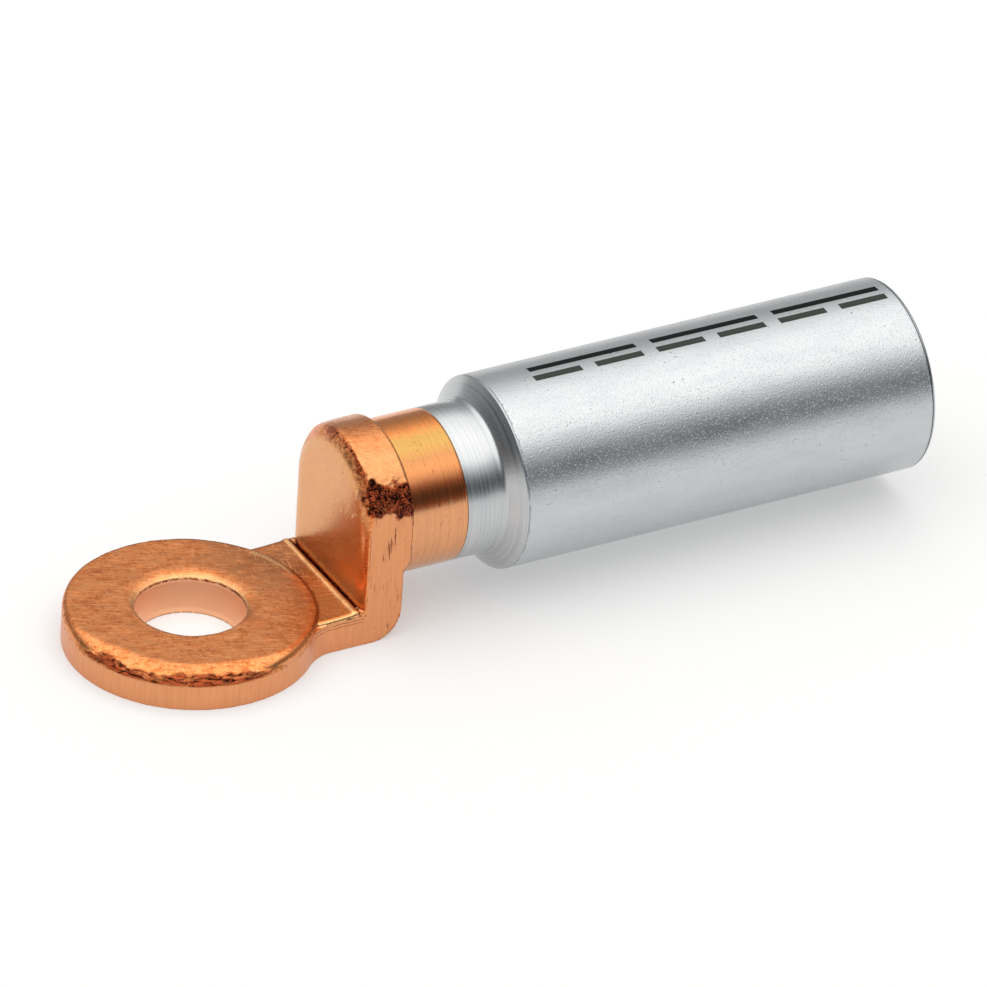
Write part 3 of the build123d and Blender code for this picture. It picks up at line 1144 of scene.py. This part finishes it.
@dataclass(frozen=True)
class ShearedCopper(BareMetal):
    """Copper where the trimming tool sheared it: salmon, smooth, with faint upright lines.

    The flash left a few thin torn lines just below the neck's upper edge, and up the web
    where the shear met the rounded front.
    """

    name: str = "bare_copper_sheared"
    light: Colour = linear("E59D6E")
    dark: Colour = linear("DD9566")
    # Pale colour painted on the punched wall, as light in place of the dim floor that it reflects
    punched: Colour = linear("FCC9A2")
    torn: Colour = linear("7A4026")
    streak: Pattern = Pattern((0.35, 0.35, 5.0), 3.0, 0.6)
    streak_depth: float = 0.003
    tear: Pattern = Pattern((0.26, 0.26, 3.0), 3.0, 0.6, 0.35)
    tear_group: Pattern = Pattern((3.0, 3.0, 4.5), 1.0)
    tear_depth: float = 0.02
    waver: Pattern = Pattern((1.6, 1.6, 1.6), 4.0, 0.65)
    waver_height: float = 0.5
    flash_heights: Span = (3.9, 3.45)
    flash_reach: Span = (12.0, 19.4)
    edge_places: Span = (19.85, 25.72)
    edge_start: float = 5.6
    line_half: float = 0.035

    def flash_lines(self, tree: Tree) -> list[tuple[Socket, float, Socket]]:
        """Says where the shear left thin torn lines.

        Args:
            tree: The material's tree.

        Returns:
            For each line a length in metres, its value on the line, and where the line runs.
        """
        place = add_node(tree, "ShaderNodeTexCoord", out="Object")
        place = add_node(tree, "ShaderNodeSeparateXYZ", [place]).node.outputs
        waver = self.waver.lay(tree)
        along, height = (add_node(tree, "ShaderNodeMath", [
            waver, -self.waver_height * MM, place[axis]], operation="MULTIPLY_ADD")
            for axis in ("X", "Z"))
        start, end = self.flash_reach
        on_neck = add_node(tree, "ShaderNodeMath", [
            place["X"], (start + end) / 2 * MM, (end - start) / 2 * MM], operation="COMPARE")
        on_web = add_node(tree, "ShaderNodeMath", [place["Z"], self.edge_start * MM],
                          operation="GREATER_THAN")
        lines = [(height, level, on_neck) for level in self.flash_heights]
        lines += [(along, level, on_web) for level in self.edge_places]
        return [(value, (level - self.waver_height / 2) * MM, where)
                for value, level, where in lines]

    def look(self, tree: Tree) -> Look:
        """Mixes streaks, painted light on the punched wall, tears and scale.

        Args:
            tree: The material's tree.

        Returns:
            The colour, the roughness and the normal.
        """
        streak, tear = self.streak.lay(tree), self.tear.lay(tree)
        tone = set_ramp(add_node(tree, "ShaderNodeValToRGB", [streak]), [
            (0.35, self.dark), (0.6, self.light)])
        pallor_and_painted_light = add_node(tree, "ShaderNodeAttribute", out="Fac", attribute_name="pallor_and_painted_light")
        # The punched wall, where light is painted
        bright = add_node(tree, "ShaderNodeMath", [pallor_and_painted_light, 0.8], operation="GREATER_THAN")
        grouped = add_node(tree, "ShaderNodeMath", [self.tear_group.lay(tree), 0.45, tear],
                           operation="MULTIPLY_ADD")
        torn = add_node(tree, "ShaderNodeMapRange", [grouped, 0.875, 0.96])
        place = add_node(tree, "ShaderNodeTexCoord", out="Object")
        behind = add_node(tree, "ShaderNodeMath", [
            add_node(tree, "ShaderNodeSeparateXYZ", [place]), self.flash_reach[1] * MM],
            operation="GREATER_THAN")
        flash = add_node(tree, "ShaderNodeMath", [torn, behind], operation="MULTIPLY")
        broken = add_node(tree, "ShaderNodeMapRange", [tear, 0.38, 0.46])
        for value, level, where in self.flash_lines(tree):
            line = add_node(tree, "ShaderNodeMath", [value, level, self.line_half * MM],
                            operation="COMPARE")
            for share in (where, broken):
                line = add_node(tree, "ShaderNodeMath", [line, share], operation="MULTIPLY")
            flash = add_node(tree, "ShaderNodeMath", [flash, line], operation="MAXIMUM")
        scale = ScaleAndPaintedShade()
        colour = lay_colours(tree, tone, [(bright, self.punched), (flash, self.torn)])
        colour, crumbs = scale.lay(tree, colour)
        sheen = add_node(tree, "ShaderNodeMapRange", [bright, 0.0, 1.0, 0.33, 0.55])
        return colour, sheen, lay_relief(tree, [
            (streak, self.streak_depth), (flash, -self.tear_depth), (crumbs, scale.depth)])


@dataclass(frozen=True)
class TurnedCopper(BareMetal):
    """Copper turned on a lathe: bright, with fine tool lines round it.

    Bands of colour are painted round it as its reflections: salmon low on its near side, then a
    darker band, rose, tan, a gold highlight, and brown on its far side.
    """

    name: str = "bare_copper_turned"
    salmon: Colour = linear("E1A072")
    stain_and_shade: Colour = linear("D87646")
    rose: Colour = linear("E89660")
    tan: Colour = linear("C48856")
    gold: Colour = linear("C89C58")
    brown: Colour = linear("F09654")
    scale: Colour = linear("5A2C14")
    # The way and the range along which the reflection bands are painted
    reflection_way: Triple = (0.0, 0.588, 0.809)
    reflection_range: Span = (7.6, 22.4)
    ragged: Pattern = Pattern((0.35, 2.0, 2.0), 3.0)
    ragged_height: float = 1.6
    line: Pattern = Pattern((0.2, 30.0, 30.0), 3.0, 0.65)
    line_depth: float = 0.003
    fleck: Pattern = Pattern((0.2, 0.6, 0.6), 3.0, 0.7)
    fleck_depth: float = 0.004

    def look(self, tree: Tree) -> Look:
        """Mixes the painted reflection bands, tool lines and flecks of scale.

        Args:
            tree: The material's tree.

        Returns:
            The colour, the roughness and the normal.
        """
        place = add_node(tree, "ShaderNodeTexCoord", out="Object")
        across = add_node(tree, "ShaderNodeVectorMath", [place, self.reflection_way], "Value",
                          operation="DOT_PRODUCT")
        lifted = add_node(tree, "ShaderNodeMath", [
            self.ragged.lay(tree), self.ragged_height * MM, across], operation="MULTIPLY_ADD")
        low, high = self.reflection_range
        height = add_node(tree, "ShaderNodeMapRange", [lifted, low * MM, high * MM])
        # Painted reflections: salmon where the floor shows low on the near side, a darker band,
        # rose, tan, a gold highlight, and brown on the far side
        reflection_bands = set_ramp(add_node(tree, "ShaderNodeValToRGB", [height]), [
            (0.13, self.salmon), (0.16, self.stain_and_shade), (0.31, self.stain_and_shade), (0.38, self.rose),
            (0.55, self.tan), (0.66, self.gold), (0.74, self.gold), (0.83, self.brown)])
        ring, fleck = self.line.lay(tree), self.fleck.lay(tree)
        shade = add_node(tree, "ShaderNodeMapRange", [ring, 0.35, 0.62, 0.88, 1.04])
        tone = add_node(tree, "ShaderNodeMix", {0: 1.0, 6: reflection_bands, 7: shade}, 2,
                        data_type="RGBA", blend_type="MULTIPLY")
        # Flecks of scale
        highlight_and_fleck = add_node(tree, "ShaderNodeMapRange", [fleck, 0.62, 0.76])
        sheen = add_node(tree, "ShaderNodeMapRange", [ring, 0.3, 0.7, 0.14, 0.24])
        return lay_colours(tree, tone, [(highlight_and_fleck, self.scale)]), sheen, lay_relief(tree, [
            (ring, self.line_depth), (fleck, self.fleck_depth)])


@dataclass(frozen=True)
class DrawnAluminium(BareMetal):
    """Bare drawn aluminium tube: satin grey, grainy, with small pits and faint lines along it.

    The lathe that turned the shoulder left the skin's edge ragged.
    """

    name: str = "bare_aluminium_drawn"
    light: Colour = linear("C9CCCE")
    dark: Colour = linear("C1C5C8")
    pit: Colour = linear("63676A")
    turned: Colour = linear("A5A9AD")
    cloud: Pattern = Pattern((7.0, 2.5, 2.5), 4.0, 0.6)
    speck: Pattern = Pattern((0.5, 0.34, 0.34), 2.0, 0.6)
    line: Pattern = Pattern((14.0, 0.35, 0.35))
    line_depth: float = 0.004
    grain: Pattern = Pattern((0.25, 0.25, 0.25), 2.0, 0.6)
    grain_depth: float = 0.013
    glint: Pattern = Pattern((0.24, 0.24, 0.24), 1.0)
    glint_depth: float = 0.014
    chips: Pattern = Pattern((1.4, 0.8, 0.8), 5.0, 0.75)
    edge: float = 41.0
    edge_reach: float = 0.7
    edge_width: float = 0.08
    edge_depth: float = 0.05
    end_line: float = 99.45
    end_line_half: float = 0.09

    def look(self, tree: Tree) -> Look:
        """Mixes clouds, grain, pits, drawn lines and the skin's two ends.

        Args:
            tree: The material's tree.

        Returns:
            The colour, the roughness and the normal.
        """
        cloud, grain = self.cloud.lay(tree), self.grain.lay(tree)
        both = add_node(tree, "ShaderNodeMath", [grain, 0.8, cloud], operation="MULTIPLY_ADD")
        tone = set_ramp(add_node(tree, "ShaderNodeValToRGB", [both]), [
            (0.6, self.dark), (1.2, self.light)])
        grouped = add_node(tree, "ShaderNodeMath", [cloud, 0.5, self.speck.lay(tree)],
                           operation="MULTIPLY_ADD")
        pitted = add_node(tree, "ShaderNodeMapRange", [grouped, 0.97, 1.04])
        place = add_node(tree, "ShaderNodeTexCoord", out="Object")
        along = add_node(tree, "ShaderNodeSeparateXYZ", [place])
        border = add_node(tree, "ShaderNodeMath", [
            self.chips.lay(tree), -2 * self.edge_reach * MM, along], operation="MULTIPLY_ADD")
        start = self.edge - self.edge_reach
        skin = add_node(tree, "ShaderNodeMapRange", [
            border, start * MM, (start + self.edge_width) * MM])
        end = add_node(tree, "ShaderNodeMath", [
            along, self.end_line * MM, self.end_line_half * MM], operation="COMPARE")
        colour = lay_colours(tree, tone, [(pitted, self.pit)])
        colour = lay_colours(tree, self.turned, [(skin, colour), (end, self.pit)])
        sheen = add_node(tree, "ShaderNodeMapRange", [both, 0.7, 1.1, 0.38, 0.3])
        sparse = add_node(tree, "ShaderNodeMapRange", [self.glint.lay(tree), 0.58, 0.7])
        return colour, sheen, lay_relief(tree, [
            (skin, self.edge_depth), (self.line.lay(tree), self.line_depth),
            (grain, self.grain_depth), (sparse, self.glint_depth)])


@dataclass(frozen=True)
class TurnedAluminium(BareMetal):
    """Aluminium turned on a lathe: bright, with fine tool lines round it."""

    name: str = "bare_aluminium_turned"
    light: Colour = linear("C5C7C8")
    dark: Colour = linear("B5B9BC")
    line: Pattern = Pattern((0.22, 30.0, 30.0), 3.0, 0.6)
    line_depth: float = 0.0018

    def look(self, tree: Tree) -> Look:
        """Lays the tool lines.

        Args:
            tree: The material's tree.

        Returns:
            The colour, the roughness and the normal.
        """
        ring = self.line.lay(tree)
        tone = set_ramp(add_node(tree, "ShaderNodeValToRGB", [ring]), [
            (0.35, self.dark), (0.6, self.light)])
        sheen = add_node(tree, "ShaderNodeMapRange", [ring, 0.3, 0.7, 0.2, 0.3])
        return tone, sheen, lay_relief(tree, [(ring, self.line_depth)])


@dataclass(frozen=True)
class PrintedInk(Finish):
    """Ink-jet marking ink on bare metal: thin, matt and almost black."""

    colour: Colour

    def shader(self, tree: Tree) -> Socket:
        """Gives a matt colour with hardly any gloss."""
        return add_node(tree, "ShaderNodeBsdfPrincipled", {
            "Base Color": self.colour, "Roughness": 0.6, "Specular IOR Level": 0.12})


@dataclass(frozen=True)
class FloorPaint(Finish):
    """Matt pale paint, which the camera and reflections see as white."""

    name: str = "studio_floor_white"
    grey: Colour = (0.58, 0.58, 0.58, 1.0)
    glow: float = 0.37

    def shader(self, tree: Tree) -> Socket:
        """Adds a glow to the paint, for the rays that would show it.

        Args:
            tree: The material's tree.

        Returns:
            The shader.
        """
        path = add_node(tree, "ShaderNodeLightPath").node.outputs
        seen = path["Is Camera Ray"]
        for kind in ("Is Glossy Ray", "Is Transmission Ray"):
            seen = add_node(tree, "ShaderNodeMath", [seen, path[kind]], operation="MAXIMUM")
        glow = add_node(tree, "ShaderNodeMath", [seen, self.glow], operation="MULTIPLY")
        paint = add_node(tree, "ShaderNodeBsdfDiffuse", {"Color": self.grey})
        lit = add_node(tree, "ShaderNodeEmission", {"Color": (1, 1, 1, 1), "Strength": glow})
        return add_node(tree, "ShaderNodeAddShader", [paint, lit])


@dataclass
class Studio:
    """Pale floor and a soft light tent.

    Each row of a sky is a height above the horizon in degrees, and the light's red, green
    and blue there.
    """

    floor_half: float = 3.0
    far_way: Triple = (0.509, 0.861, 0.0)
    near_sky: tuple = (
        (-90, 0.40, 0.40, 0.40),
        (-1, 0.40, 0.40, 0.40),
        (4, 0.32, 0.325, 0.33),
        (10, 0.105, 0.115, 0.123),
        (20, 0.091, 0.106, 0.118),
        (27, 0.20, 0.218, 0.23),
        (35, 0.555, 0.562, 0.57),
        (43, 1.06, 1.06, 1.06),
        (51, 1.73, 1.70, 1.66),
        (90, 1.92, 1.88, 1.83),
    )
    far_sky: tuple = (
        (-90, 0.44, 0.44, 0.44),
        (0, 0.44, 0.44, 0.44),
        (10, 0.38, 0.385, 0.39),
        (20, 0.38, 0.385, 0.39),
        (30, 0.56, 0.56, 0.56),
        (40, 0.90, 0.90, 0.90),
        (50, 1.52, 1.50, 1.48),
        (90, 1.92, 1.88, 1.83),
    )

    def build_floor(self) -> bpy.types.Object:
        """Lays the pale floor that the lug stands on.

        Returns:
            The floor.
        """
        half = self.floor_half
        mesh = bpy.data.meshes.new("studio_floor")
        corners = [(-half, -half, 0), (half, -half, 0), (half, half, 0), (-half, half, 0)]
        mesh.from_pydata(corners, [], [(0, 1, 2, 3)])
        mesh.materials.append(FloorPaint().build())
        floor = new_object("studio_floor", mesh)
        return floor

    def build_world(self) -> None:
        """Lights the set with a tent that is white above and darker near the horizon."""
        world = bpy.data.worlds.new("studio_tent")
        world.use_nodes = True
        tree = world.node_tree
        tree.nodes.clear()
        way = add_node(tree, "ShaderNodeTexCoord", out="Generated")
        upward = add_node(tree, "ShaderNodeSeparateXYZ", [way], "Z")
        rise = add_node(tree, "ShaderNodeMath", [upward], operation="ARCSINE")
        share = add_node(tree, "ShaderNodeMapRange", [rise, -math.pi / 2, math.pi / 2])
        near, far = (set_ramp(add_node(tree, "ShaderNodeValToRGB", [share]), [
            ((height + 90) / 180, (r, g, b, 1)) for height, r, g, b in sky])
            for sky in (self.near_sky, self.far_sky))
        toward = add_node(tree, "ShaderNodeVectorMath", [way, self.far_way], "Value",
                          operation="DOT_PRODUCT")
        lean = add_node(tree, "ShaderNodeMapRange", [toward, -0.1, 0.5],
                        interpolation_type="SMOOTHSTEP")
        light = lay_colours(tree, near, [(lean, far)])
        tent = add_node(tree, "ShaderNodeBackground", {"Color": light})
        add_node(tree, "ShaderNodeOutputWorld", [tent])
        bpy.context.scene.world = world

    def build(self) -> None:
        """Sets up floor, light and colour management."""
        self.build_floor()
        self.build_world()
        bpy.context.scene.view_settings.view_transform = "Standard"


@dataclass
class ProductCamera:
    """A long lens, as for a product picture, turned and rolled as the photograph is."""

    azimuth: float = -30.603
    elevation: float = 31.841
    roll: float = 3.519
    distance: float = 1640.0
    shift: Span = (-1.728, 1.904)
    target: Triple = (45.0, 0.0, 8.0)
    lens: float = 474.55

    def build(self) -> bpy.types.Object:
        """Places the camera and makes it the scene's own.

        Returns:
            The camera.
        """
        turn, rise = math.radians(self.azimuth), math.radians(self.elevation)
        lean = math.radians(self.roll)
        back = Vector((math.sin(turn) * math.cos(rise), -math.cos(turn) * math.cos(rise),
                       math.sin(rise)))
        right = Vector((0, 0, 1)).cross(back).normalized()
        up = back.cross(right)
        side = right * math.cos(lean) + up * math.sin(lean)
        head = up * math.cos(lean) - right * math.sin(lean)
        place = Vector(self.target) + back * self.distance
        place += side * self.shift[0] + head * self.shift[1]
        data = bpy.data.cameras.new("product_camera")
        data.lens = self.lens
        data.sensor_width = 36.0
        data.clip_start = 0.05
        data.clip_end = 20.0
        camera = bpy.data.objects.new("product_camera", data)
        camera.matrix_world = Matrix.Translation(place * MM) @ Matrix(
            (side, head, back)).transposed().to_4x4()
        bpy.context.scene.collection.objects.link(camera)
        bpy.context.scene.camera = camera
        return camera


def main() -> None:
    """Builds the lug and its studio, and writes how large it came out."""
    logging.basicConfig(level=logging.INFO, format="%(message)s")
    log = logging.getLogger("cable_lug")
    Studio().build()
    ProductCamera().build()
    palm = CopperPalm().build()
    log.info("%s: %d faces", palm.name, len(palm.data.polygons))
    barrel = AluminiumBarrel().build()
    log.info("%s: %d faces", barrel.name, len(barrel.data.polygons))
    for row in CrimpMarks().build():
        log.info("%s: %d faces", row.name, len(row.data.polygons))


if __name__ == "__main__":
    main()
